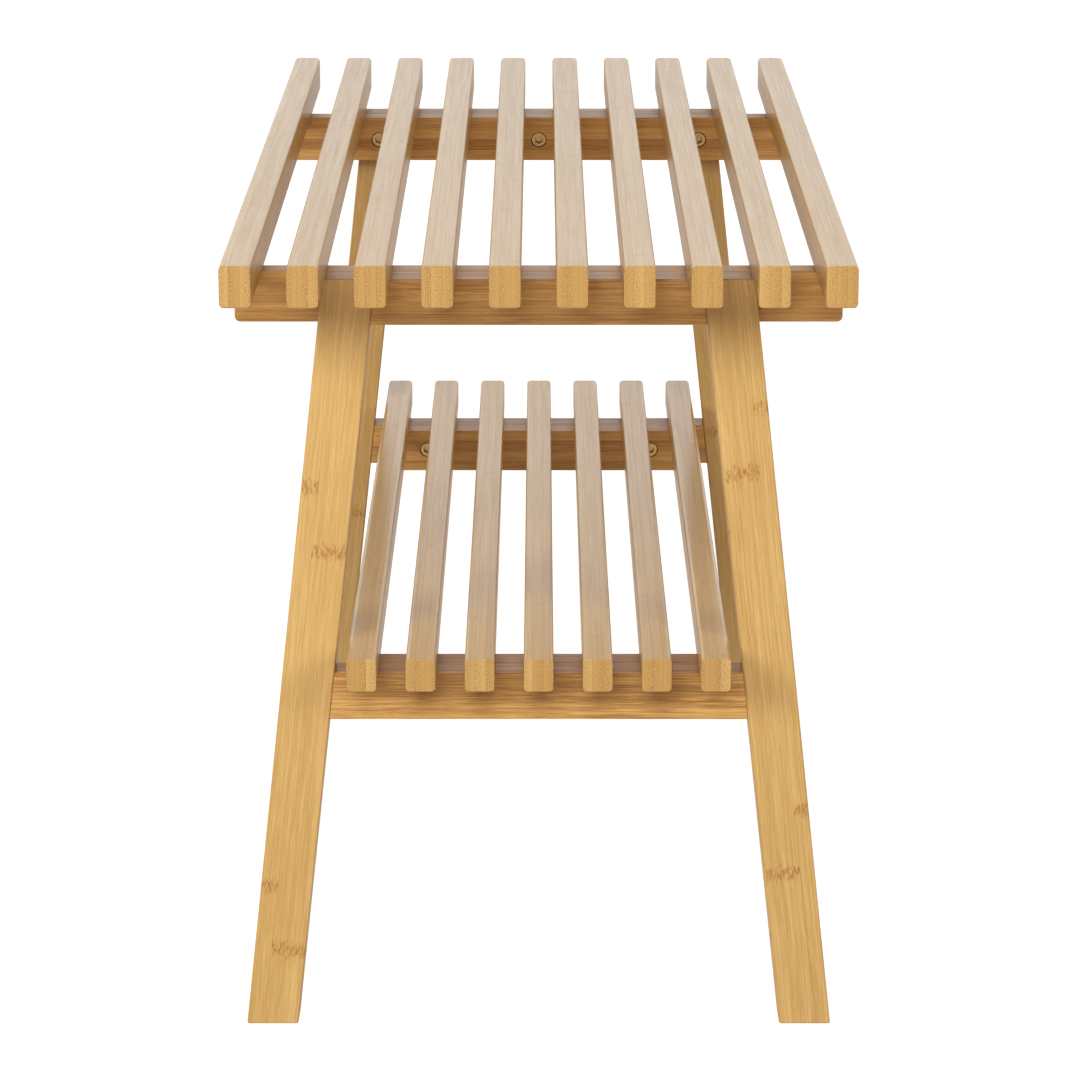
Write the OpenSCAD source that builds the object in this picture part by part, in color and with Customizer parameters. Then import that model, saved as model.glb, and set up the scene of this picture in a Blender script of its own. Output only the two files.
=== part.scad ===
// Slatted bamboo entryway bench with a slatted shelf.
// X runs along the bench, Y across it and Z up. The origin is on the floor, under the middle of the bench.
// "right" is the +X end, "left" the -X end, "front" the -Y side and "back" the +Y side.

/* [Seat] */
// Length of the seat, along X
seat_length = 700; // [480:1:1400]
// Width of the seat, over the outer slats
seat_width = 340; // [280:1:460]
// Height of the top of the seat above the floor
seat_height = 450; // [370:1:560]
// Number of slats in the seat, an even number because a bolt sits under the middle
seat_slats = 10; // [8:2:12]
// Width of one seat slat
seat_slat_w = 17; // [14:0.5:22]
// Thickness of one seat slat
seat_slat_t = 23; // [18:0.5:34]
// How far the seat slats run out past the top of an end frame
seat_overhang = 74; // [10:1:120]

/* [Shelf] */
// Height of the top of the lower rails above the floor
lower_rail_top = 205; // [110:1:300]
// Number of slats in the shelf
shelf_slats = 7; // [4:1:8]
// Width of one shelf slat
shelf_slat_w = 16.5; // [14:0.5:22]
// Thickness of one shelf slat
shelf_slat_t = 19; // [14.5:0.5:28]
// How far the shelf slats run out past an end frame
shelf_overhang = 33.5; // [0:0.5:80]
// Gap between the shelf's outer slats and the legs, level with the top of the shelf
shelf_side_gap = 6.3; // [1:0.1:30]

/* [End frames] */
// Thickness of the legs and rails, square to the frame
frame_t = 20.5; // [16:0.5:30]
// Width of a leg, square to its own length
leg_w = 29; // [24:0.5:42]
// Splay of a leg in its frame, in degrees
leg_splay = 6.3; // [3:0.1:8]
// Outward lean of an end frame, its feet further out than its top, in degrees
frame_lean = 4.4; // [0:0.1:6]
// Height of a top rail
top_rail_h = 25.5; // [21:0.5:40]
// Height of a lower rail
lower_rail_h = 26.5; // [21:0.5:40]

/* [Battens] */
// Thickness of a batten, square to the frame
batten_t = 16.5; // [13:0.5:24]
// Height of a seat batten
seat_batten_h = 29.5; // [23:0.5:38]
// Height of a shelf batten
shelf_batten_h = 29; // [22:0.5:38]
// How far a seat batten stops short of the seat's outer edge
seat_batten_inset = 1; // [0:0.5:20]
// How far a shelf batten stops short of the shelf's outer edge
shelf_batten_inset = 1; // [0:0.5:6]

/* [Edges] */
// Rounding of the long edges of a slat
slat_round = 2.4; // [0.5:0.1:4]
// Rounding of the corners at the ends of a batten
batten_round = 3; // [0.5:0.1:6]

/* [Bolts] */
// Shank diameter of a frame bolt
bolt_d = 6; // [5:0.5:7]
// How far a frame bolt screws into the frame
bolt_bite = 12.5; // [8:0.5:15]
// Diameter of a bolt's head
bolt_head_d = 10; // [8.5:0.5:12]
// Height of a bolt's head
bolt_head_h = 6; // [4:0.5:7]
// How far a bolt's head sits below the face of its batten
bolt_sink = 0.5; // [0:0.1:2]
// Width across the flats of the hexagon socket in a bolt's head
bolt_socket = 5; // [3:0.5:6]
// Depth of the hexagon socket
bolt_socket_depth = 3; // [1.5:0.5:3.5]
// Distance from the top of an end frame down to its bolts
seat_bolt_drop = 12.5; // [9:0.5:15]
// Distance from the top of a lower rail down to its bolts
shelf_bolt_drop = 11; // [9:0.5:15]
// How far a bolt in a leg sits outside the leg's middle line
leg_bolt_offset = 1.7; // [0:0.1:5]
// How far a shelf bolt sits inside the middle of the gap between the two outer slats
shelf_bolt_offset = 4.3; // [0:0.1:6]
// Outer diameter of a threaded insert
insert_d = 8; // [7.5:0.5:10]
// Length of a threaded insert
insert_l = 12; // [8:0.5:14]

/* [Slat screws] */
// Shank diameter of a slat screw
screw_d = 4; // [3:0.5:5]
// Diameter of a slat screw's head
screw_head_d = 7; // [6:0.5:8]
// Height of a slat screw's head
screw_head_h = 2.5; // [1.5:0.5:3]
// Width of one arm of the cross in a screw's head
screw_cross_w = 1; // [0.6:0.1:1.4]
// Length of one arm of the cross, from tip to tip
screw_cross_l = 4; // [3:0.5:5]
// Depth of the cross
screw_cross_depth = 1.2; // [0.6:0.1:1.4]
// Depth of the hole in a seat batten that a screw's head sits at the end of
seat_screw_sink = 8; // [4:0.5:12]
// Depth of the hole in a shelf batten that a screw's head sits at the end of
shelf_screw_sink = 5; // [4:0.5:12]
// How far a screw bites into a seat slat
seat_screw_bite = 13; // [10:0.5:15]
// How far a screw bites into a shelf slat
shelf_screw_bite = 11; // [8:0.5:12]

/* [Frame dowels] */
// Diameter of a frame dowel
dowel_d = 6; // [5:0.5:7]
// Distance between the middles of the two dowels of a joint
dowel_gap = 12; // [9:0.5:13]
// How deep a dowel goes into a rail
dowel_rail_depth = 20; // [12:0.5:24]
// Wood left in a leg between its dowels and its bolt insert
dowel_wall = 3; // [2:0.5:5]

/* [Clearances] */
// Gap all round a head in its counterbore
head_clear = 0.3; // [0.2:0.1:1]
// Gap all round a shank in the hole that it passes through
shank_clear = 0.25; // [0.1:0.05:0.5]
// Gap all round a thread, an insert or a dowel in its own hole
thread_clear = 0.05; // [0.02:0.01:0.1]
// Free depth past the end of a shank, an insert or a dowel
end_clear = 0.5; // [0.2:0.1:1]

/* [Hidden] */
$fn = 48;
BAMBOO = "#d9b071";
BAMBOO_DARK = "#b98a50";
BRASS = "#c8a75a";
STEEL = "#b9bcc0";

// In an end frame's own coordinates X = 0 is its outer face and Z = 0 the top of that face, and a drop is a
// distance down that face. These planes are at right angles to the frame.
frame_in_x = -frame_t;
frame_mid_x = -frame_t / 2;
batten_in_x = -frame_t - batten_t;
batten_mid_x = -frame_t - batten_t / 2;

// Levels, and the drops to them
frame_top = seat_height - seat_slat_t;
lean_slope = tan(frame_lean);
frame_top_x = seat_length / 2 - seat_overhang;
function frame_x(z) = frame_top_x + (frame_top - z) * lean_slope;
function drop_to(z) = (frame_top - z) / cos(frame_lean);
lower_drop = drop_to(lower_rail_top);
shelf_drop = drop_to(lower_rail_top + shelf_slat_t);
shelf_length = 2 * (frame_x(lower_rail_top) + shelf_overhang);
seat_bolt_z = -seat_bolt_drop;
shelf_bolt_z = -lower_drop - shelf_bolt_drop;

// How much a level cut through the top of a frame rises from its outer face to x
function rise(x) = -x * lean_slope;

// The seat's slats, and the bolt that lies under the gap between its second and third slats
seat_pitch = (seat_width - seat_slat_w) / (seat_slats - 1);
seat_bolt_y = (seat_slats - 4) / 2 * seat_pitch;

// The legs, whose middle lines pass just inside the outer seat bolts
splay_slope = tan(leg_splay);
leg_across = leg_w / cos(leg_splay);
leg_top_y = seat_bolt_y - leg_bolt_offset - leg_across / 2 - splay_slope * seat_bolt_drop;
function leg_in_y(drop) = leg_top_y + splay_slope * drop;

// The shelf, which fits between the legs
shelf_width = 2 * (leg_in_y(shelf_drop) - shelf_side_gap);
shelf_pitch = (shelf_width - shelf_slat_w) / (shelf_slats - 1);
shelf_bolt_y = (shelf_slats - 2) / 2 * shelf_pitch - shelf_bolt_offset;

// Fasteners
seat_bolts = [-seat_bolt_y, 0, seat_bolt_y];
shelf_bolts = [-shelf_bolt_y, shelf_bolt_y];
head_depth = bolt_sink + bolt_head_h;
bolt_l = batten_t - head_depth + bolt_bite;
insert_hole = max(insert_l, bolt_bite) + end_clear;
dowel_leg_depth = leg_across / 2 + leg_bolt_offset - insert_d / 2 - dowel_wall;
screw_rise = rise(batten_mid_x); // height at which a screw leaves its batten
cut = 1; // how far a cutting shape runs out past the face that it opens
reach = 2 * (seat_length + seat_width + seat_height); // larger than the whole bench

function two_digits(i) = str(i < 10 ? "0" : "", i);
function seat_name(i) = str("seat_slat_", two_digits(i));
function shelf_name(i) = str("shelf_slat_", two_digits(i));
function slat_y(i, count, pitch) = (i - (count + 1) / 2) * pitch;
function slat_row(count, pitch) = [for (i = [1:count]) slat_y(i, count, pitch)];
function batten_bottom(drop, h) = rise(batten_in_x) - drop - h;

// Helpers ---------------------------------------------------------------------------------------

// Moves a right-end piece to the left end
module left_end() { mirror([1, 0, 0]) children(); }

// Moves a back piece to the front
module front_side() { mirror([0, 1, 0]) children(); }

// Stands what is drawn in an end frame's own coordinates in its place at the right end
module leaning() { translate([frame_top_x, 0, frame_top]) rotate([0, -frame_lean, 0]) children(); }

// Everything below height z
module below(z) { translate([-reach, -reach, z - reach]) cube([2 * reach, 2 * reach, reach]); }

// Planes the top of a leaning piece level at height z
module planed(z) {
    intersection() {
        leaning() children();
        below(z);
    }
}

// Extrudes an outline drawn in Y and Z along X, from x on
module along_x(x, length) {
    translate([x, 0, 0]) rotate([90, 0, 90]) linear_extrude(length) children();
}

// A cylinder along X that starts at x
module rod_x(x, y, z, d, length) {
    translate([x, y, z]) rotate([0, 90, 0]) cylinder(d = d, h = length);
}

// A cylinder along Y that starts at y
module rod_y(x, y, z, d, length) {
    translate([x, y, z]) rotate([-90, 0, 0]) cylinder(d = d, h = length);
}

// A cylinder along Z that starts at z
module rod_z(x, y, z, d, length) {
    translate([x, y, z]) cylinder(d = d, h = length);
}

module rounded_rect(w, h, r) {
    square([w - 2 * r, h], center = true);
    square([w, h - 2 * r], center = true);
    for (sx = [-1, 1], sy = [-1, 1]) translate([sx * (w / 2 - r), sy * (h / 2 - r)]) circle(r = r);
}

// Slats -----------------------------------------------------------------------------------------

// The hole for one slat screw at the right end, which runs up into a slat along its leaning batten
module pilot(y, drop, bite) {
    hole_d = screw_d + 2 * thread_clear;
    leaning() rod_z(batten_mid_x, y, screw_rise - drop - cut, hole_d, bite + end_clear + cut);
}

module slat(y, z, drop, length, w, t, bite) {
    color(BAMBOO) difference() {
        along_x(-length / 2, length) translate([y, z + t / 2]) rounded_rect(w, t, slat_round);
        pilot(y, drop, bite);
        left_end() pilot(y, drop, bite);
    }
}

module seat_slat(i) {
    y = slat_y(i, seat_slats, seat_pitch);
    slat(y, frame_top, 0, seat_length, seat_slat_w, seat_slat_t, seat_screw_bite);
}

module shelf_slat(i) {
    y = slat_y(i, shelf_slats, shelf_pitch);
    slat(y, lower_rail_top, lower_drop, shelf_length, shelf_slat_w, shelf_slat_t, shelf_screw_bite);
}

// End frames ------------------------------------------------------------------------------------

// Holes for the inserts, drilled into the frame's inner face
module insert_holes(rows, z) {
    leaning() for (y = rows) rod_x(frame_in_x - cut, y, z, insert_d + 2 * thread_clear, insert_hole + cut);
}

// The two dowels of a back joint, or their holes with a gap round them
module dowel_pair(drop, rail_h, gap, ends) {
    leaning() for (side = [-1, 1]) {
        down = drop + rail_h / 2 + side * dowel_gap / 2;
        y = leg_in_y(down) - dowel_rail_depth - ends;
        rod_y(frame_mid_x, y, -down, dowel_d + 2 * gap, dowel_rail_depth + dowel_leg_depth + 2 * ends);
    }
}

module top_dowel_holes() { dowel_pair(0, top_rail_h, thread_clear, end_clear); }

module lower_dowel_holes() { dowel_pair(lower_drop, lower_rail_h, thread_clear, end_clear); }

module leg() {
    spare = rise(frame_in_x) + cut;
    foot = drop_to(0) + spare;
    color(BAMBOO) difference() {
        planed(frame_top) along_x(frame_in_x, frame_t) polygon([
            [leg_in_y(foot), -foot],
            [leg_in_y(foot) + leg_across, -foot],
            [leg_in_y(-spare) + leg_across, spare],
            [leg_in_y(-spare), spare]
        ]);
        below(0);
        insert_holes([seat_bolt_y], seat_bolt_z);
        top_dowel_holes();
        lower_dowel_holes();
    }
}

// A rail between the legs, with ends cut to their splay and a level top at height z
module rail(z, h) {
    top = drop_to(z) - rise(frame_in_x) - cut;
    bottom = drop_to(z) + h;
    planed(z) along_x(frame_in_x, frame_t) polygon([
        [-leg_in_y(bottom), -bottom],
        [leg_in_y(bottom), -bottom],
        [leg_in_y(top), -top],
        [-leg_in_y(top), -top]
    ]);
}

module top_rail() {
    color(BAMBOO) difference() {
        rail(frame_top, top_rail_h);
        insert_holes([0], seat_bolt_z);
        top_dowel_holes();
        front_side() top_dowel_holes();
    }
}

module lower_rail() {
    color(BAMBOO) difference() {
        rail(lower_rail_top, lower_rail_h);
        insert_holes(shelf_bolts, shelf_bolt_z);
        lower_dowel_holes();
        front_side() lower_dowel_holes();
    }
}

// Battens ---------------------------------------------------------------------------------------

// A batten on a frame's inner face, with a level top at height z
module batten(length, z, h, bolts, bolt_z, slats, screw_sink) {
    bottom = batten_bottom(drop_to(z), h);
    color(BAMBOO_DARK) difference() {
        planed(z) along_x(batten_in_x, batten_t)
            translate([0, bottom + h / 2]) rounded_rect(length, h, batten_round);
        leaning() for (y = bolts) {
            rod_x(batten_in_x - cut, y, bolt_z, bolt_head_d + 2 * head_clear, head_depth + cut);
            rod_x(batten_in_x, y, bolt_z, bolt_d + 2 * shank_clear, batten_t + cut);
        }
        leaning() for (y = slats) {
            rod_z(batten_mid_x, y, bottom - cut, screw_head_d + 2 * head_clear, screw_sink + cut);
            rod_z(batten_mid_x, y, bottom, screw_d + 2 * shank_clear, h + cut);
        }
    }
}

module seat_batten() {
    batten(
        seat_width - 2 * seat_batten_inset, frame_top, seat_batten_h,
        seat_bolts, seat_bolt_z, slat_row(seat_slats, seat_pitch), seat_screw_sink
    );
}

module shelf_batten() {
    batten(
        shelf_width - 2 * shelf_batten_inset, lower_rail_top, shelf_batten_h,
        shelf_bolts, shelf_bolt_z, slat_row(shelf_slats, shelf_pitch), shelf_screw_sink
    );
}

// Fasteners -------------------------------------------------------------------------------------

module bolt(y, z) {
    color(STEEL) difference() {
        union() {
            rod_x(batten_in_x + bolt_sink, y, z, bolt_head_d, bolt_head_h);
            rod_x(batten_in_x + bolt_sink, y, z, bolt_d, bolt_head_h + bolt_l);
        }
        translate([batten_in_x + bolt_sink - cut, y, z]) rotate([0, 90, 0])
            cylinder(d = bolt_socket / cos(30), h = bolt_socket_depth + cut, $fn = 6);
    }
}

module bolts(rows, z) { leaning() for (y = rows) bolt(y, z); }

module inserts(rows, z) {
    color(BRASS) leaning() for (y = rows) difference() {
        rod_x(frame_in_x, y, z, insert_d, insert_l);
        rod_x(frame_in_x - cut, y, z, bolt_d + 2 * thread_clear, insert_l + 2 * cut);
    }
}

module dowels(drop, rail_h) {
    color(BAMBOO_DARK) {
        dowel_pair(drop, rail_h, 0, 0);
        front_side() dowel_pair(drop, rail_h, 0, 0);
    }
}

// A screw whose head bears on the wood at height z
module screw(y, z, length) {
    color(STEEL) translate([batten_mid_x, y, z]) difference() {
        union() {
            translate([0, 0, -screw_head_h]) cylinder(d = screw_head_d, h = screw_head_h);
            translate([0, 0, -screw_head_h]) cylinder(d = screw_d, h = screw_head_h + length);
        }
        for (turn = [0, 90]) rotate([0, 0, turn])
            translate([-screw_cross_l / 2, -screw_cross_w / 2, -screw_head_h - cut])
                cube([screw_cross_l, screw_cross_w, screw_cross_depth + cut]);
    }
}

// The screws of one batten, from the bottoms of their holes up into the slats
module screws(rows, drop, batten_h, sink, bite) {
    z = batten_bottom(drop, batten_h) + sink;
    leaning() for (y = rows) screw(y, z, screw_rise - drop + bite - z);
}

module seat_screws() {
    screws(slat_row(seat_slats, seat_pitch), 0, seat_batten_h, seat_screw_sink, seat_screw_bite);
}

module shelf_screws() {
    screws(slat_row(shelf_slats, shelf_pitch), lower_drop, shelf_batten_h, shelf_screw_sink, shelf_screw_bite);
}

// The bench -------------------------------------------------------------------------------------

for (i = [1:seat_slats]) seat_slat(i);
for (i = [1:shelf_slats]) shelf_slat(i);
front_side() leg();  // leg_right_front
leg();  // leg_right_back
left_end() front_side() leg();  // leg_left_front
left_end() leg();  // leg_left_back
top_rail();  // top_rail_right
left_end() top_rail();  // top_rail_left
lower_rail();  // lower_rail_right
left_end() lower_rail();  // lower_rail_left
seat_batten();  // seat_batten_right
left_end() seat_batten();  // seat_batten_left
shelf_batten();  // shelf_batten_right
left_end() shelf_batten();  // shelf_batten_left
bolts(seat_bolts, seat_bolt_z);  // seat_bolts_right
left_end() bolts(seat_bolts, seat_bolt_z);  // seat_bolts_left
bolts(shelf_bolts, shelf_bolt_z);  // shelf_bolts_right
left_end() bolts(shelf_bolts, shelf_bolt_z);  // shelf_bolts_left
inserts(seat_bolts, seat_bolt_z);  // seat_inserts_right
left_end() inserts(seat_bolts, seat_bolt_z);  // seat_inserts_left
inserts(shelf_bolts, shelf_bolt_z);  // shelf_inserts_right
left_end() inserts(shelf_bolts, shelf_bolt_z);  // shelf_inserts_left
dowels(0, top_rail_h);  // top_dowels_right
left_end() dowels(0, top_rail_h);  // top_dowels_left
dowels(lower_drop, lower_rail_h);  // lower_dowels_right
left_end() dowels(lower_drop, lower_rail_h);  // lower_dowels_left
seat_screws();  // seat_screws_right
left_end() seat_screws();  // seat_screws_left
shelf_screws();  // shelf_screws_right
left_end() shelf_screws();  // shelf_screws_left
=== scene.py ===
import math

import bmesh
import bpy
from bpy.props import FloatProperty, FloatVectorProperty, PointerProperty
from mathutils import Matrix, Vector


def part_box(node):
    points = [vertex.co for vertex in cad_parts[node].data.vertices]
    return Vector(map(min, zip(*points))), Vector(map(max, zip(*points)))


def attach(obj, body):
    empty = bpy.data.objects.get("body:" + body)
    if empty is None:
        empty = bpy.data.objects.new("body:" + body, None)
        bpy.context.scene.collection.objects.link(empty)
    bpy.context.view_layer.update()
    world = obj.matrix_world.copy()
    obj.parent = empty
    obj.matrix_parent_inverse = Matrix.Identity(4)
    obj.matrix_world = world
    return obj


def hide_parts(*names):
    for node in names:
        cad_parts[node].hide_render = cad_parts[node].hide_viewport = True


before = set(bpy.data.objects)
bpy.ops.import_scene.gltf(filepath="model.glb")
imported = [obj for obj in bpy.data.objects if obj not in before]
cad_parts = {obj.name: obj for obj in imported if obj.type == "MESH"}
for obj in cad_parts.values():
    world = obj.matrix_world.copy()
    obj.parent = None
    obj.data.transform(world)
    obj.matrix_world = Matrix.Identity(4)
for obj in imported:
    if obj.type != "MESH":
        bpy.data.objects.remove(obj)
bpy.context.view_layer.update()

bl_info = {
    "name": "Slatted Bamboo Bench",
    "version": (1, 0, 0),
    "blender": (4, 5, 0),
    "location": "3D View > Sidebar > Bench",
    "description": "Builds the slats, end frames, battens and fittings of a slatted bamboo bench",
    "category": "Object",
}

MM = 0.001
SEAT_SLATS = [f"seat_slat_{i:02d}" for i in range(1, 11)]
SHELF_SLATS = [f"shelf_slat_{i:02d}" for i in range(1, 8)]
SEAT_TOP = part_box("seat_slat_01")[1].z
FRAME_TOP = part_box("seat_slat_01")[0].z
SHELF_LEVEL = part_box("shelf_slat_01")[0].z
NEAR = 1e-5  # how close two places have to be to count as the same

# How the strips are laid up in each kind of piece, in metres, and how strongly each effect shows
BAMBOO_KINDS = {
    "slats": {"Strip Width": 0.026, "Strip Thickness": 0.0059, "Tone Spread": 0.3, "Streaks": 0.4,
              "Bundles": 0.4, "Node Marks": 0.3, "Glue Lines": 0.35},
    "legs": {"Strip Width": 0.0195, "Strip Thickness": 0.0071, "Tone Spread": 0.2, "Streaks": 1.35,
             "Bundles": 0.3, "Node Marks": 1.0, "Glue Lines": 0.25},
    "rails": {"Strip Width": 0.024, "Strip Thickness": 0.0068, "Tone Spread": 0.4, "Streaks": 1.4,
              "Bundles": 0.6, "Node Marks": 0.4, "Glue Lines": 0.35},
    "battens": {"Strip Width": 0.024, "Strip Thickness": 0.0075, "Tone Spread": 0.4, "Streaks": 0.8,
                "Bundles": 0.5, "Node Marks": 0.2, "Glue Lines": 0.35},
}
LACQUER = {"slats": 0.5, "legs": 0.3, "rails": 0.05, "battens": 0.05}
LACQUER_ROUGHNESS = 0.2
STANDING_STRIPS = ("rails", "battens")  # these show the strips' edges
NODE_SPACING = 0.232
NODE_STEPS = (0.846, 0.613, 0.731)  # shift of the nodes, in spacings, per column, layer and board
BUNDLES_PER_METRE = 950.0
GRAIN_RELIEF = (0.35, 0.00025)  # strength and depth of the bump
METAL_RELIEF = (0.15, 0.0001)

# Each piece of bamboo has a number, which sets its tones and the places of its nodes
SEAT_BOARD, SHELF_BOARD = 1, 21
LEG_BOARDS = {
    ("right", "back"): 41.836, ("right", "front"): 42.949, ("left", "back"): 43.9, ("left", "front"): 45.1,
}
RAIL_BOARDS = {"top_rail": 61, "lower_rail": 66}
BATTEN_BOARDS = {"seat": 71, "shelf": 73}

# How far the strips' pattern is shifted across and through each piece
SLAT_STRIP_SHIFT, SLAT_LAYER_STEP = 0.011, 0.0005
LEG_STRIP_SHIFT = {"front": -0.0050, "back": 0.0135}
LEG_LAYER_SHIFT = 0.00355
RAIL_SHIFT = (0, 0.012, 0)

ZINC_STAIN, ZINC_SPREAD, ZINC_GLOSS = (0.36, 0.24, 0.11), 0.5, 0.26
BRASS_STAIN, BRASS_SPREAD, BRASS_GLOSS = (0.42, 0.25, 0.08), 0.35, 0.28

# The studio: name, place, size in metres and power in watts of each light
LIGHTS = (
    ("Left light", (2.36, -2.36, 1.75), (1.3, 1.2), 58),
    ("Right light", (2.36, 2.36, 1.75), (1.3, 1.2), 40),
    ("Front light", (3.2, -0.4, 1.95), (1.6, 1.5), 50),
    ("Back light", (-3.4, 0.6, 2.2), (2.6, 1.6), 26),
)
LIGHT_AIM = (0, 0, 0.3)
FLOOR_GLOW, FLOOR_GLOW_IN_GLOSS = 0.93, 0.5
SHADE_TINT = (1.0, 0.62, 0.36, 1)
SKY_FILL = (0.0, 0.8, 0.045, 0.22)  # from this height to that, the strength goes from low to high
SKY_SHEEN = (0.25, 0.7, 1.15, 0.2)
SENSOR, LENS = 36, 400 / 3  # in millimetres
CAMERA_AWAY, CAMERA_ASIDE, CAMERA_ABOVE = 2.0798, 0.00075, 0.4410  # from the seat's end and top
CAMERA_TILT = 15.889  # degrees down from level


class BenchSizes(bpy.types.PropertyGroup):
    """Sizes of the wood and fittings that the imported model's boxes don't give"""

    frame_lean: FloatProperty(
        name="Frame lean", description="Outward lean of each end frame along the bench",
        default=math.radians(4.4), subtype="ANGLE",
    )
    leg_splay: FloatProperty(
        name="Leg splay", description="Sideways splay of each leg within its end frame",
        default=math.radians(6.3), subtype="ANGLE",
    )
    frame_thickness: FloatProperty(
        name="Frame thickness", description="Thickness of the legs and rails",
        default=20.5 * MM, subtype="DISTANCE", unit="LENGTH",
    )
    leg_width: FloatProperty(
        name="Leg width", description="Width of a leg at right angles to its length",
        default=29 * MM, subtype="DISTANCE", unit="LENGTH",
    )
    leg_reach: FloatProperty(
        name="Leg spacing",
        description="Distance from the middle of the bench to a leg's inner edge at the top",
        default=89.99 * MM, subtype="DISTANCE", unit="LENGTH",
    )
    top_rail_height: FloatProperty(
        name="Top rail height", description="Height of the rail under the seat",
        default=25.5 * MM, subtype="DISTANCE", unit="LENGTH",
    )
    lower_rail_height: FloatProperty(
        name="Lower rail height", description="Height of the rail under the shelf",
        default=26.5 * MM, subtype="DISTANCE", unit="LENGTH",
    )
    batten_thickness: FloatProperty(
        name="Batten thickness", description="Thickness of the strips that carry the slats",
        default=16.5 * MM, subtype="DISTANCE", unit="LENGTH",
    )
    seat_batten_height: FloatProperty(
        name="Seat batten height", description="Height of the battens under the seat",
        default=29.5 * MM, subtype="DISTANCE", unit="LENGTH",
    )
    shelf_batten_height: FloatProperty(
        name="Shelf batten height", description="Height of the battens under the shelf",
        default=29 * MM, subtype="DISTANCE", unit="LENGTH",
    )
    slat_round: FloatProperty(
        name="Slat rounding", description="Radius along the long edges of a slat",
        default=2.4 * MM, subtype="DISTANCE", unit="LENGTH",
    )
    batten_round: FloatProperty(
        name="Batten rounding", description="Radius of a batten's corners",
        default=3 * MM, subtype="DISTANCE", unit="LENGTH",
    )
    leg_round: FloatProperty(
        name="Leg rounding", description="Radius along the edges of a leg",
        default=1.1 * MM, subtype="DISTANCE", unit="LENGTH",
    )
    arris: FloatProperty(
        name="Arris", description="Small rounding where an edge is only sanded",
        default=0.5 * MM, subtype="DISTANCE", unit="LENGTH",
    )
    bolt_head: FloatProperty(
        name="Bolt head", description="Diameter of a bolt's head",
        default=10 * MM, subtype="DISTANCE", unit="LENGTH",
    )
    bolt_head_height: FloatProperty(
        name="Bolt head height", description="Height of a bolt's head",
        default=6 * MM, subtype="DISTANCE", unit="LENGTH",
    )
    bolt_shank: FloatProperty(
        name="Bolt shank", description="Diameter of a bolt's shank",
        default=6 * MM, subtype="DISTANCE", unit="LENGTH",
    )
    bolt_bite: FloatProperty(
        name="Bolt bite", description="Length of a bolt inside the frame",
        default=12.5 * MM, subtype="DISTANCE", unit="LENGTH",
    )
    bolt_socket: FloatProperty(
        name="Bolt socket", description="Width across the flats of a bolt's socket",
        default=5 * MM, subtype="DISTANCE", unit="LENGTH",
    )
    bolt_socket_depth: FloatProperty(
        name="Bolt socket depth", description="Depth of a bolt's socket",
        default=3 * MM, subtype="DISTANCE", unit="LENGTH",
    )
    bolt_sink: FloatProperty(
        name="Bolt sink", description="How far a bolt's head lies below the batten's face",
        default=0.5 * MM, subtype="DISTANCE", unit="LENGTH",
    )
    seat_bolt_drop: FloatProperty(
        name="Seat bolt drop", description="Distance of the seat bolts below the frame's top edge",
        default=12.5 * MM, subtype="DISTANCE", unit="LENGTH",
    )
    shelf_bolt_drop: FloatProperty(
        name="Shelf bolt drop", description="Distance of the shelf bolts below the lower rail's top edge",
        default=11 * MM, subtype="DISTANCE", unit="LENGTH",
    )
    screw_head: FloatProperty(
        name="Screw head", description="Diameter of a slat screw's head",
        default=7 * MM, subtype="DISTANCE", unit="LENGTH",
    )
    seat_screw_sink: FloatProperty(
        name="Seat screw sink", description="Depth of the screw holes under the seat battens",
        default=8 * MM, subtype="DISTANCE", unit="LENGTH",
    )
    shelf_screw_sink: FloatProperty(
        name="Shelf screw sink", description="Depth of the screw holes under the shelf battens",
        default=5 * MM, subtype="DISTANCE", unit="LENGTH",
    )
    hole_play: FloatProperty(
        name="Hole play", description="Gap round a head in its hole",
        default=0.3 * MM, subtype="DISTANCE", unit="LENGTH",
    )
    floor_size: FloatProperty(
        name="Floor size", description="Width of the studio floor",
        default=60.0, subtype="DISTANCE", unit="LENGTH",
    )


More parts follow.
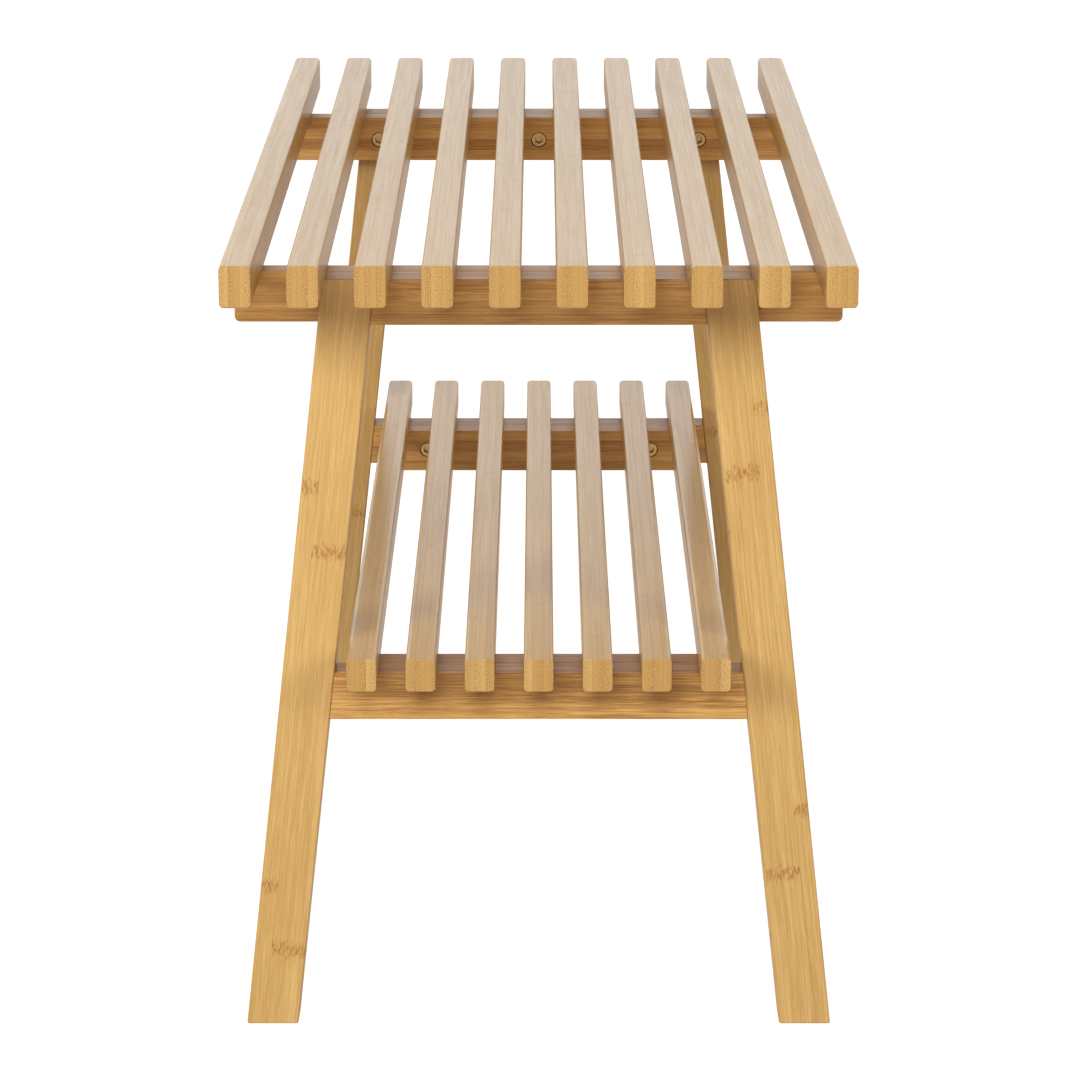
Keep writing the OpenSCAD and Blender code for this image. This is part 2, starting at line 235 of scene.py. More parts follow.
class BenchColours(bpy.types.PropertyGroup):
    """Colours of the wood, the metal and the studio"""

    pale: FloatVectorProperty(
        name="Pale bamboo", description="Lighter colour of the bamboo strips",
        default=(0.755, 0.515, 0.195), subtype="COLOR", min=0, max=1,
    )
    deep: FloatVectorProperty(
        name="Deep bamboo", description="Deeper colour of the bamboo strips",
        default=(0.57, 0.345, 0.108), subtype="COLOR", min=0, max=1,
    )
    edge_pale: FloatVectorProperty(
        name="Pale strip edge", description="Lighter colour where the strips show their edges",
        default=(0.88, 0.54, 0.18), subtype="COLOR", min=0, max=1,
    )
    edge_deep: FloatVectorProperty(
        name="Deep strip edge", description="Deeper colour where the strips show their edges",
        default=(0.44, 0.21, 0.055), subtype="COLOR", min=0, max=1,
    )
    fibre: FloatVectorProperty(
        name="Fibre", description="Colour of the dark fibre bundles and glue lines",
        default=(0.22, 0.10, 0.028), subtype="COLOR", min=0, max=1,
    )
    node: FloatVectorProperty(
        name="Node", description="Colour of the brown marks at the bamboo's nodes",
        default=(0.40, 0.17, 0.03), subtype="COLOR", min=0, max=1,
    )
    zinc: FloatVectorProperty(
        name="Zinc", description="Colour of the plated bolts and screws",
        default=(0.58, 0.41, 0.20), subtype="COLOR", min=0, max=1,
    )
    brass: FloatVectorProperty(
        name="Brass", description="Colour of the threaded inserts",
        default=(0.80, 0.60, 0.28), subtype="COLOR", min=0, max=1,
    )
    dowel: FloatVectorProperty(
        name="Dowel", description="Colour of the bare dowels",
        default=(0.70, 0.52, 0.32), subtype="COLOR", min=0, max=1,
    )
    floor: FloatVectorProperty(
        name="Floor", description="Colour of the studio floor",
        default=(0.36, 0.26, 0.17), subtype="COLOR", min=0, max=1,
    )


# Node trees ------------------------------------------------------------------------------------

class Net:
    """Adds nodes to one tree and joins them"""

    def __init__(self, tree):
        self.tree = tree

    def feed(self, socket, value):
        if isinstance(value, bpy.types.NodeSocket):
            self.tree.links.new(value, socket)
        else:
            socket.default_value = value

    def add(self, kind, inputs=None, **settings):
        node = self.tree.nodes.new(kind)
        for name, value in settings.items():
            setattr(node, name, value)
        for name, value in (inputs or {}).items():
            self.feed(node.inputs[name], value)
        return node

    def math(self, operation, *values):
        node = self.add("ShaderNodeMath", dict(enumerate(values)), operation=operation)
        return node.outputs[0]

    def vector(self, operation, first, second):
        slot = 3 if operation == "SCALE" else 1
        node = self.add("ShaderNodeVectorMath", {0: first, slot: second}, operation=operation)
        return node.outputs[0]

    def combine(self, x, y, z):
        return self.add("ShaderNodeCombineXYZ", {0: x, 1: y, 2: z}).outputs[0]

    def split(self, vector):
        return self.add("ShaderNodeSeparateXYZ", {0: vector}).outputs

    def fade(self, value, start, end, low=0.0, high=1.0):
        """A smooth step from low at start to high at end"""
        inputs = {"Value": value, "From Min": start, "From Max": end, "To Min": low, "To Max": high}
        node = self.add("ShaderNodeMapRange", inputs, interpolation_type="SMOOTHSTEP")
        return node.outputs["Result"]

    def noise(self, place, detail=2.0, roughness=0.5, output="Fac"):
        inputs = {"Vector": place, "Scale": 1.0, "Detail": detail, "Roughness": roughness}
        return self.add("ShaderNodeTexNoise", inputs).outputs[output]

    def mix(self, amount, first, second, blend="MIX"):
        node = self.add("ShaderNodeMix", data_type="RGBA", blend_type=blend)
        for slot, value in ((0, amount), (6, first), (7, second)):
            self.feed(node.inputs[slot], value)
        return node.outputs[2]


def new_group(name, inputs, outputs):
    """An empty shader node group, with its net and its input sockets by name"""
    tree = bpy.data.node_groups.new(name, "ShaderNodeTree")
    for label, kind, value in inputs:
        socket = tree.interface.new_socket(name=label, in_out="INPUT", socket_type=kind)
        socket.default_value = value
    for label, kind in outputs:
        tree.interface.new_socket(name=label, in_out="OUTPUT", socket_type=kind)
    net = Net(tree)
    return tree, net, net.add("NodeGroupInput").outputs, net.add("NodeGroupOutput").inputs


def rgba(colour):
    return (*colour, 1.0)


def bamboo_group():
    """Laminated bamboo: glued strips with their own tones, long fibres, nodes and fibre bundles"""
    colour, value = "NodeSocketColor", "NodeSocketFloat"
    tree, net, given, out = new_group("Laminated bamboo", [
        ("Pale", colour, (0.8, 0.6, 0.3, 1)), ("Deep", colour, (0.6, 0.4, 0.2, 1)),
        ("Fibre", colour, (0.2, 0.1, 0.03, 1)),
        ("Strip Width", value, 0.02), ("Strip Thickness", value, 0.006),
        ("Tone Spread", value, 0.5), ("Streaks", value, 1.0), ("Bundles", value, 0.5),
        ("Node Colour", colour, (0.4, 0.2, 0.05, 1)), ("Node Marks", value, 0.5), ("Glue Lines", value, 0.4),
    ], [("Color", colour), ("Roughness", value), ("Height", value)])
    grain = net.add("ShaderNodeAttribute", attribute_name="grain").outputs["Vector"]
    board = net.add("ShaderNodeAttribute", attribute_name="board").outputs["Fac"]
    end = net.add("ShaderNodeAttribute", attribute_name="end_grain").outputs["Fac"]
    along, across, through = net.split(grain)

    # Which strip of which layer this is, and how far the point lies inside it
    columns = net.math("DIVIDE", across, given["Strip Width"])
    layers = net.math("DIVIDE", through, given["Strip Thickness"])
    column, layer = net.math("FLOOR", columns), net.math("FLOOR", layers)
    in_column, in_layer = net.math("FRACT", columns), net.math("FRACT", layers)
    strip = net.combine(column, layer, board)
    luck = net.add("ShaderNodeTexWhiteNoise", {"Vector": strip}, noise_dimensions="3D")
    tone, pick = luck.outputs["Value"], net.split(luck.outputs["Color"])
    start = net.math("MULTIPLY", tone, 37.0)

    # Fibres wander a little as they run along the strip
    slow = net.combine(net.math("MULTIPLY", along, 9.0), net.math("MULTIPLY", across, 45.0),
                       net.math("ADD", net.math("MULTIPLY", through, 45.0), start))
    drift = net.vector("SUBTRACT", net.noise(slow, 1.0, 0.5, "Color"), (0.5, 0.5, 0.5))
    wandering = net.vector("ADD", grain, net.vector("SCALE", drift, 0.0014))
    _, side, depth = net.split(wandering)

    def stretched(per_metre, cross, detail, roughness):
        place = net.combine(net.math("MULTIPLY_ADD", along, per_metre, start),
                            net.math("MULTIPLY", side, cross), net.math("MULTIPLY_ADD", depth, cross, start))
        return net.noise(place, detail, roughness)

    broad = stretched(5.0, 90.0, 1.0, 0.5)
    medium = stretched(14.0, 520.0, 2.0, 0.6)
    fine = stretched(48.0, 2100.0, 3.0, 0.7)

    # Bundles of dark fibre: dots in the end grain and thin lines along the other faces
    cell = net.combine(net.math("MULTIPLY_ADD", side, BUNDLES_PER_METRE, start),
                       net.math("MULTIPLY_ADD", depth, BUNDLES_PER_METRE, start), 0.0)
    dots = net.add("ShaderNodeTexVoronoi", {"Vector": cell, "Scale": 1.0, "Randomness": 0.75},
                   voronoi_dimensions="2D").outputs["Distance"]
    outer = net.math("ABSOLUTE", net.math("SUBTRACT", in_layer, net.math("ROUND", pick[1])))
    crowd = net.fade(outer, 0.05, 0.8, 0.15, 1.0)
    bundles = net.math("MULTIPLY", net.fade(dots, 0.16, 0.40, 1.0, 0.0), crowd)

    # Nodes: ragged brown marks across a strip, each strip with its own places
    by_column, by_layer, by_board = NODE_STEPS
    phase = net.math("MULTIPLY_ADD", layer, by_layer, net.math("MULTIPLY", board, by_board))
    phase = net.math("MULTIPLY_ADD", column, by_column, phase)
    beat = net.math("FRACT", net.math("MULTIPLY_ADD", along, 1 / NODE_SPACING, phase))
    away = net.math("MULTIPLY", net.math("ABSOLUTE", net.math("SUBTRACT", beat, 0.5)), NODE_SPACING)
    ragged = stretched(260.0, 1300.0, 2.0, 0.7)
    reach = net.math("MULTIPLY_ADD", net.math("SUBTRACT", ragged, 0.5), -0.020, away)
    marks = net.math("MULTIPLY", net.fade(reach, 0.0, 0.0045, 1.0, 0.0),
                     net.fade(ragged, 0.42, 0.62, 0.1, 1.0))
    hump = net.fade(away, 0.0, 0.012, 1.0, 0.0)

    # Glue lines between the strips
    def edge(share, size):
        near = net.math("MINIMUM", share, net.math("SUBTRACT", 1.0, share))
        return net.math("MULTIPLY", near, size)

    gap = net.math("MINIMUM", edge(in_column, given["Strip Width"]), edge(in_layer, given["Strip Thickness"]))
    glue = net.fade(gap, 0.00004, 0.00026, 1.0, 0.0)

    shade = net.math("MULTIPLY_ADD", net.math("SUBTRACT", tone, 0.5), given["Tone Spread"], 0.5)
    for texture, share in ((broad, 0.5), (medium, 1.0), (fine, 1.7)):
        swing = net.math("MULTIPLY", net.math("SUBTRACT", texture, 0.5), share)
        shade = net.math("MULTIPLY_ADD", swing, given["Streaks"], shade)
    darker = net.math("MULTIPLY_ADD", pick[0], 0.75, 0.05)
    shade = net.fade(net.math("MULTIPLY_ADD", end, darker, shade), 0.0, 1.0)
    tint = net.mix(shade, given["Pale"], given["Deep"])
    weight = net.math("MULTIPLY", given["Bundles"], net.math("MULTIPLY_ADD", end, 1.25, 0.55))
    tint = net.mix(net.math("MULTIPLY", bundles, weight), tint, given["Fibre"])
    tint = net.mix(net.math("MULTIPLY", marks, net.math("MULTIPLY", given["Node Marks"],
                   net.math("SUBTRACT", 1.0, end))), tint, given["Node Colour"])
    tint = net.mix(net.math("MULTIPLY", glue, given["Glue Lines"]), tint, given["Fibre"])
    net.feed(out["Color"], tint)
    net.feed(out["Roughness"], net.math("MULTIPLY_ADD", end, 0.12, net.fade(medium, 0.2, 0.8, 0.30, 0.42)))
    height = net.math("MULTIPLY_ADD", fine, 0.5, net.math("MULTIPLY", bundles, -0.35))
    height = net.math("MULTIPLY_ADD", hump, 0.35, height)
    net.feed(out["Height"], net.math("MULTIPLY_ADD", glue, -0.6, height))
    return tree


def worn_metal_group():
    """Plated metal: faint blotches and fine specks"""
    colour, value = "NodeSocketColor", "NodeSocketFloat"
    tree, net, given, out = new_group("Plated metal", [
        ("Metal", colour, (0.7, 0.7, 0.7, 1)), ("Stain", colour, (0.4, 0.3, 0.2, 1)),
        ("Spread", value, 0.3), ("Gloss", value, 0.3),
    ], [("Color", colour), ("Roughness", value), ("Height", value)])
    place = net.add("ShaderNodeTexCoord").outputs["Object"]
    cloud = net.noise(net.vector("SCALE", place, 260.0), 3.0, 0.6)
    speck = net.noise(net.vector("SCALE", place, 1900.0), 2.0, 0.6)
    patch = net.math("MULTIPLY", net.fade(cloud, 0.42, 0.75), given["Spread"])
    net.feed(out["Color"], net.mix(patch, given["Metal"], given["Stain"]))
    net.feed(out["Roughness"], net.math("MULTIPLY_ADD", net.fade(speck, 0.3, 0.7), 0.15, given["Gloss"]))
    net.feed(out["Height"], speck)
    return tree


def new_material(name, group, values, bump, **shader):
    """A material whose colour, roughness and bump come from a group, with plain values on its shader"""
    material = bpy.data.materials.new(name)
    material.use_nodes = True
    net = Net(material.node_tree)
    surface = material.node_tree.nodes["Principled BSDF"]
    source = net.add("ShaderNodeGroup", node_tree=group)
    for label, value in values.items():
        source.inputs[label].default_value = value
    net.feed(surface.inputs["Base Color"], source.outputs["Color"])
    net.feed(surface.inputs["Roughness"], source.outputs["Roughness"])
    strength, distance = bump
    relief = net.add("ShaderNodeBump", {"Height": source.outputs["Height"], "Strength": strength,
                                        "Distance": distance})
    net.feed(surface.inputs["Normal"], relief.outputs[0])
    for label, value in shader.items():
        surface.inputs[label.replace("_", " ")].default_value = value
    return material


def bamboo(kind):
    """The bamboo material of one kind of piece, made the first time it is asked for"""
    name = f"Bamboo {kind}"
    if name in bpy.data.materials:
        return bpy.data.materials[name]
    group = bpy.data.node_groups.get("Laminated bamboo") or bamboo_group()
    colours = bpy.context.scene.bench_colours
    on_edge = kind in STANDING_STRIPS
    values = {
        "Pale": rgba(colours.edge_pale if on_edge else colours.pale),
        "Deep": rgba(colours.edge_deep if on_edge else colours.deep),
        "Fibre": rgba(colours.fibre), "Node Colour": rgba(colours.node), **BAMBOO_KINDS[kind],
    }
    return new_material(name, group, values, GRAIN_RELIEF, Coat_Weight=LACQUER[kind],
                        Coat_Roughness=LACQUER_ROUGHNESS)


def metal(name, colour, stain, spread, gloss):
    """The named plated or turned metal, made the first time it is asked for"""
    if name in bpy.data.materials:
        return bpy.data.materials[name]
    group = bpy.data.node_groups.get("Plated metal") or worn_metal_group()
    values = {"Metal": rgba(colour), "Stain": rgba(stain), "Spread": spread, "Gloss": gloss}
    return new_material(name, group, values, METAL_RELIEF, Metallic=1.0)


# Modelling -------------------------------------------------------------------------------------

def only(*pieces):
    """Selects these pieces alone, in object mode"""
    if bpy.context.mode != "OBJECT":
        bpy.ops.object.mode_set(mode="OBJECT")
    bpy.ops.object.select_all(action="DESELECT")
    for piece in pieces:
        piece.select_set(True)
        bpy.context.view_layer.objects.active = piece


def start_edit(piece):
    """Opens a piece in edit mode with nothing selected"""
    only(piece)
    bpy.ops.object.mode_set(mode="EDIT")
    bpy.ops.mesh.select_mode(type="VERT")
    bpy.ops.mesh.select_all(action="DESELECT")


def end_edit():
    bpy.ops.object.mode_set(mode="OBJECT")


def pick(piece, kind, test):
    """Selects the piece's vertices, edges or faces that pass a test, and nothing else"""
    bpy.ops.mesh.select_mode(type=kind)
    bpy.ops.mesh.select_all(action="DESELECT")
    mesh = bmesh.from_edit_mesh(piece.data)
    parts = {"VERT": mesh.verts, "EDGE": mesh.edges, "FACE": mesh.faces}[kind]
    for part in parts:
        if test(part):
            part.select_set(True)
    mesh.select_flush_mode()
    bmesh.update_edit_mesh(piece.data)


def runs(edge, axis):
    """Whether an edge runs along one axis"""
    line = (edge.verts[1].co - edge.verts[0].co).normalized()
    return abs(line[axis]) > 0.98


def block(name, low, high):
    """A block between two corners, with its place in its mesh"""
    only()
    low, high = Vector(low), Vector(high)
    bpy.ops.mesh.primitive_cube_add(size=1, location=(low + high) / 2, scale=high - low)
    piece = bpy.context.object
    piece.name = piece.data.name = name
    bpy.ops.object.transform_apply(location=True, rotation=True, scale=True)
    return piece


def rod(name, start, direction, diameter, length, sides=32):
    """A cylinder that starts at a point and runs in a direction"""
    only()
    direction = Vector(direction).normalized()
    bpy.ops.mesh.primitive_cylinder_add(
        vertices=sides, radius=diameter / 2, depth=length, location=Vector(start) + direction * length / 2,
        rotation=direction.to_track_quat("Z", "Y").to_euler(),
    )
    piece = bpy.context.object
    piece.name = piece.data.name = name
    bpy.ops.object.transform_apply(location=True, rotation=True, scale=True)
    return piece


def copy_of(piece, name, move=(0, 0, 0), flip=(1, 1, 1)):
    """A copy with its own mesh, moved or mirrored"""
    only(piece)
    bpy.ops.object.duplicate(linked=False)
    twin = bpy.context.object
    twin.name = twin.data.name = name
    twin.location, twin.scale = move, flip
    bpy.ops.object.transform_apply(location=True, rotation=True, scale=True)
    if flip[0] * flip[1] * flip[2] < 0:
        start_edit(twin)
        bpy.ops.mesh.select_all(action="SELECT")
        bpy.ops.mesh.remove_doubles(threshold=1e-6)
        bpy.ops.mesh.normals_make_consistent(inside=False)
        end_edit()
    return twin


def both_ends(right, name):
    """A right-end piece and its mirrored copy at the left end, each with its end and its mirror factors"""
    flip = Vector((-1, 1, 1))
    return [(right, "right", Vector((1, 1, 1))), (copy_of(right, name, flip=flip), "left", flip)]


def joined(pieces, name):
    only(*pieces)
    bpy.ops.object.join()
    piece = bpy.context.object
    piece.name = piece.data.name = name
    return piece


def round_edges(piece, kind_test, size, segments):
    """Rounds the edges that pass a test, in edit mode"""
    pick(piece, "EDGE", kind_test)
    bpy.ops.mesh.bevel(offset=size, segments=segments, affect="EDGES", profile=0.5)


def soften(piece, size, segments=2, angle=50):
    """Rounds every edge sharper than an angle with an applied modifier"""
    only(piece)
    bevel = piece.modifiers.new("Arris", "BEVEL")
    bevel.width, bevel.segments = size, segments
    bevel.limit_method, bevel.angle_limit = "ANGLE", math.radians(angle)
    bevel.miter_outer = "MITER_ARC"
    bpy.ops.object.modifier_apply(modifier=bevel.name)


def drill(piece, cutters):
    """Cuts the cutters out of a piece and removes them"""
    for cutter in cutters:
        only(piece)
        cut = piece.modifiers.new("Hole", "BOOLEAN")
        cut.operation, cut.solver, cut.object = "DIFFERENCE", "EXACT", cutter
        bpy.ops.object.modifier_apply(modifier=cut.name)
        only(cutter)
        bpy.ops.object.delete()
    only(piece)


def cut_level(piece, height, keep_below=True):
    """Saws a piece level at a height and closes the cut"""
    start_edit(piece)
    bpy.ops.mesh.select_all(action="SELECT")
    bpy.ops.mesh.bisect(
        plane_co=(0, 0, height), plane_no=(0, 0, 1), use_fill=True,
        clear_outer=keep_below, clear_inner=not keep_below,
    )
    end_edit()


def smooth_shading(piece):
    only(piece)
    bpy.ops.object.shade_smooth_by_angle(angle=math.radians(40))
    weighted = piece.modifiers.new("Flat faces", "WEIGHTED_NORMAL")
    weighted.keep_sharp = True
    bpy.ops.object.modifier_apply(modifier=weighted.name)


def lay_grain(piece, middle, along, across, board, shift=(0.0, 0.0, 0.0)):
    """Stores each point's place along, across and through the strips, and marks the end grain"""
    along, across = Vector(along).normalized(), Vector(across).normalized()
    axes = (along, across, along.cross(across).normalized())
    mesh = piece.data
    for label, kind, domain in (("grain", "FLOAT_VECTOR", "POINT"), ("board", "FLOAT", "POINT"),
                                ("end_grain", "FLOAT", "FACE")):
        mesh.attributes.new(label, kind, domain)
    grains, boards = mesh.attributes["grain"].data, mesh.attributes["board"].data
    for vertex, grain, number in zip(mesh.vertices, grains, boards):
        offset = vertex.co - middle
        grain.vector = [offset.dot(axis) + step for axis, step in zip(axes, shift)]
        number.value = board
    for face, end in zip(mesh.polygons, mesh.attributes["end_grain"].data):
        end.value = 1.0 if abs(face.normal.dot(along)) > 0.6 else 0.0


def finish_piece(piece, node, material):
    """Gives a finished piece its material and its place in the frame"""
    if not piece.data.polygons:
        raise RuntimeError(f"{node} has no faces")
    piece.data.materials.clear()
    piece.data.materials.append(material)
    smooth_shading(piece)
    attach(piece, "root")
    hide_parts(node)


class EndFrame:
    """The right end frame's own coordinates, leaning with it"""

    def __init__(self):
        sizes = bpy.context.scene.bench_sizes
        slope = math.tan(sizes.frame_lean)
        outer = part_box("leg_right_back")[1].x - FRAME_TOP * slope
        self.origin = Vector((outer, 0, FRAME_TOP))
        self.turn = Matrix.Rotation(-sizes.frame_lean, 3, "Y")
        self.lean = sizes.frame_lean
        self.inner = -sizes.frame_thickness
        self.batten_inner = self.inner - sizes.batten_thickness
        self.slope = slope
        self.splay = math.tan(sizes.leg_splay)
        self.leg_across = sizes.leg_width / math.cos(sizes.leg_splay)
        self.reach = sizes.leg_reach

    def drop_to(self, height):
        return (FRAME_TOP - height) / math.cos(self.lean)

    def leg_in(self, drop):
        return self.reach + self.splay * drop

    def rise(self, x):
        return -x * self.slope

    def place(self, x, y, z):
        return self.origin + self.turn @ Vector((x, y, z))

    def direction(self, x, y, z):
        return self.turn @ Vector((x, y, z))

    def stand(self, piece):
        """Turns a piece drawn upright at the frame's origin into its lean"""
        start_edit(piece)
        bpy.ops.mesh.select_all(action="SELECT")
        bpy.ops.transform.translate(value=self.origin)
        bpy.ops.transform.rotate(value=self.lean, orient_axis="Y", center_override=self.origin)
        end_edit()


def slope_ends(piece, test, move):
    """Moves the vertices that pass a test, in edit mode"""
    start_edit(piece)
    pick(piece, "VERT", test)
    bpy.ops.transform.translate(value=move)
    end_edit()


# The bench -------------------------------------------------------------------------------------

class Step(bpy.types.Operator):
    """What the building steps share: each reads the sizes and colours, and an error stops it"""

    bl_options = {"REGISTER", "UNDO"}

    def execute(self, context):
        self.build(context, context.scene.bench_sizes, context.scene.bench_colours)
        return {"FINISHED"}


def make_slats(names, sizes, first_board):
    """Shapes the first slat of a row, copies it to the others and finishes them all"""
    material = bamboo("slats")
    low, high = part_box(names[0])
    slat = block(names[0] + "_shaped", low, high)
    start_edit(slat)
    round_edges(slat, lambda e: runs(e, 0), sizes.slat_round, 5)
    ends = (low.x, high.x)
    round_edges(slat, lambda e: any(all(abs(v.co.x - x) < NEAR for v in e.verts) for x in ends),
                sizes.arris, 2)
    end_edit()
    slats = [slat]
    for name in names[1:]:
        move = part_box(name)[0] - low
        slats.append(copy_of(slat, name + "_shaped", move))
    thickness = BAMBOO_KINDS["slats"]["Strip Thickness"]
    for number, (piece, name) in enumerate(zip(slats, names)):
        middle = sum(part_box(name), Vector()) / 2
        shift = (0.0, SLAT_STRIP_SHIFT, thickness / 2 + (number % 3 - 1) * SLAT_LAYER_STEP)
        lay_grain(piece, middle, (1, 0, 0), (0, 0, 1), first_board + number, shift)
        finish_piece(piece, name, material)


class BENCH_OT_seat_slats(Step):
    """Builds the ten slats of the seat"""

    bl_idname = "bench.seat_slats"
    bl_label = "Seat slats"

    def build(self, context, sizes, colours):
        make_slats(SEAT_SLATS, sizes, SEAT_BOARD)


class BENCH_OT_shelf_slats(Step):
    """Builds the seven slats of the shelf"""

    bl_idname = "bench.shelf_slats"
    bl_label = "Shelf slats"

    def build(self, context, sizes, colours):
        make_slats(SHELF_SLATS, sizes, SHELF_BOARD)


class BENCH_OT_legs(Step):
    """Builds the four splayed and leaning legs"""

    bl_idname = "bench.legs"
    bl_label = "Legs"

    def build(self, context, sizes, colours):
        end = EndFrame()
        spare = 5 * MM
        foot = end.drop_to(0) + spare
        leg = block("leg_right_back_shaped", (end.inner, end.leg_in(-spare), -foot),
                    (0, end.leg_in(-spare) + end.leg_across, spare))
        slope_ends(leg, lambda v: v.co.z < 0, (0, end.leg_in(foot) - end.leg_in(-spare), 0))
        end.stand(leg)
        cut_level(leg, FRAME_TOP)
        cut_level(leg, 0, keep_below=False)
        soften(leg, sizes.leg_round, 3)
        material = bamboo("legs")
        middle = end.place(end.inner / 2, end.leg_in(0) + end.leg_across / 2, 0)
        legs = {}
        for x_end, y_side in LEG_BOARDS:
            flip = Vector((1 if x_end == "right" else -1, 1 if y_side == "back" else -1, 1))
            first = (x_end, y_side) == ("right", "back")
            piece = leg if first else copy_of(leg, f"leg_{x_end}_{y_side}_shaped", flip=flip)
            legs[x_end, y_side] = (piece, flip)
        for (x_end, y_side), board in LEG_BOARDS.items():
            name, (piece, flip) = f"leg_{x_end}_{y_side}", legs[x_end, y_side]
            down = end.direction(0, end.splay, -1) * flip
            across = end.direction(0, 1, end.splay) * flip
            shift = (0.0, LEG_STRIP_SHIFT[y_side], LEG_LAYER_SHIFT)
            lay_grain(piece, middle * flip, -down, across, board, shift)
            finish_piece(piece, name, material)


class BENCH_OT_rails(Step):
    """Builds the top and lower rails between the legs"""

    bl_idname = "bench.rails"
    bl_label = "Rails"

    def build(self, context, sizes, colours):
        end = EndFrame()
        material = bamboo("rails")
        spare = 3 * MM
        rails = (
            ("top_rail", FRAME_TOP, sizes.top_rail_height),
            ("lower_rail", SHELF_LEVEL, sizes.lower_rail_height),
        )
        for label, level, height in rails:
            board = RAIL_BOARDS[label]
            top, bottom = end.drop_to(level) - spare, end.drop_to(level) + height
            half = end.leg_in(top)
            rail = block(f"{label}_right_shaped", (end.inner, -half, -bottom), (0, half, -top))
            for side in (1, -1):
                wider = (0, side * (end.leg_in(bottom) - half), 0)
                slope_ends(rail, lambda v: v.co.z < -top - 1e-4 and v.co.y * side > 0, wider)
            end.stand(rail)
            cut_level(rail, level)
            start_edit(rail)
            round_edges(rail, lambda e: runs(e, 1), sizes.arris, 2)
            end_edit()
            middle = end.place(end.inner / 2, 0, -(top + spare + height / 2))
            for piece, x_end, flip in both_ends(rail, f"{label}_left_shaped"):
                name = f"{label}_{x_end}"
                across = end.direction(1, 0, 0) * flip
                lay_grain(piece, middle * flip, (0, 1, 0), across, board, RAIL_SHIFT)
                finish_piece(piece, name, material)
                board += 1


class BENCH_OT_battens(Step):
    """Builds the drilled battens that carry the slats"""

    bl_idname = "bench.battens"
    bl_label = "Battens"

    def build(self, context, sizes, colours):
        end = EndFrame()
        spare = 2 * MM
        material = bamboo("battens")
        battens = (
            ("seat", FRAME_TOP, sizes.seat_batten_height, sizes.seat_bolt_drop, sizes.seat_screw_sink),
            ("shelf", SHELF_LEVEL, sizes.shelf_batten_height, sizes.shelf_bolt_drop, sizes.shelf_screw_sink),
        )
        for label, level, height, bolt_drop, sink in battens:
            board = BATTEN_BOARDS[label]
            node_low, node_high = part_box(f"{label}_batten_right")
            drop = end.drop_to(level)
            bottom = end.rise(end.batten_inner) - drop - height
            batten = block(f"{label}_batten_right_shaped", (end.batten_inner, node_low.y, bottom),
                           (end.inner, node_high.y, bottom + height))
            start_edit(batten)
            round_edges(batten, lambda e: runs(e, 0), sizes.batten_round, 5)
            end_edit()
            end.stand(batten)
            cut_level(batten, level)
            soften(batten, sizes.arris, 2)
            cutters = []
            head = sizes.bolt_head + 2 * sizes.hole_play
            for y in bolt_rows(label):
                down = -drop - bolt_drop if label == "shelf" else -bolt_drop
                start = end.place(end.batten_inner - spare, y, down)
                depth = sizes.bolt_sink + sizes.bolt_head_height + spare
                cutters.append(rod("Bolt cutter", start, end.direction(1, 0, 0), head, depth, 48))
            head = sizes.screw_head + 2 * sizes.hole_play
            names = SEAT_SLATS if label == "seat" else SHELF_SLATS
            for y in [sum(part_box(name), Vector()).y / 2 for name in names]:
                start = end.place((end.inner + end.batten_inner) / 2, y, bottom - spare)
                cutters.append(rod("Screw cutter", start, end.direction(0, 0, 1), head, sink + spare))
            drill(batten, [joined(cutters, "Cutters")])
            middle = end.place((end.inner + end.batten_inner) / 2, 0, bottom + height / 2)
            for piece, x_end, flip in both_ends(batten, f"{label}_batten_left_shaped"):
                name = f"{label}_batten_{x_end}"
                across = end.direction(1, 0, 0) * flip
                lay_grain(piece, middle * flip, (0, 1, 0), across, board, RAIL_SHIFT)
                finish_piece(piece, name, material)
                board += 1


def bolt_rows(label):
    """Where the bolts of one batten stand across the bench"""
    low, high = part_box(f"{label}_bolts_right")
    reach = high.y - bpy.context.scene.bench_sizes.bolt_head / 2
    return [-reach, 0, reach] if label == "seat" else [-reach, reach]


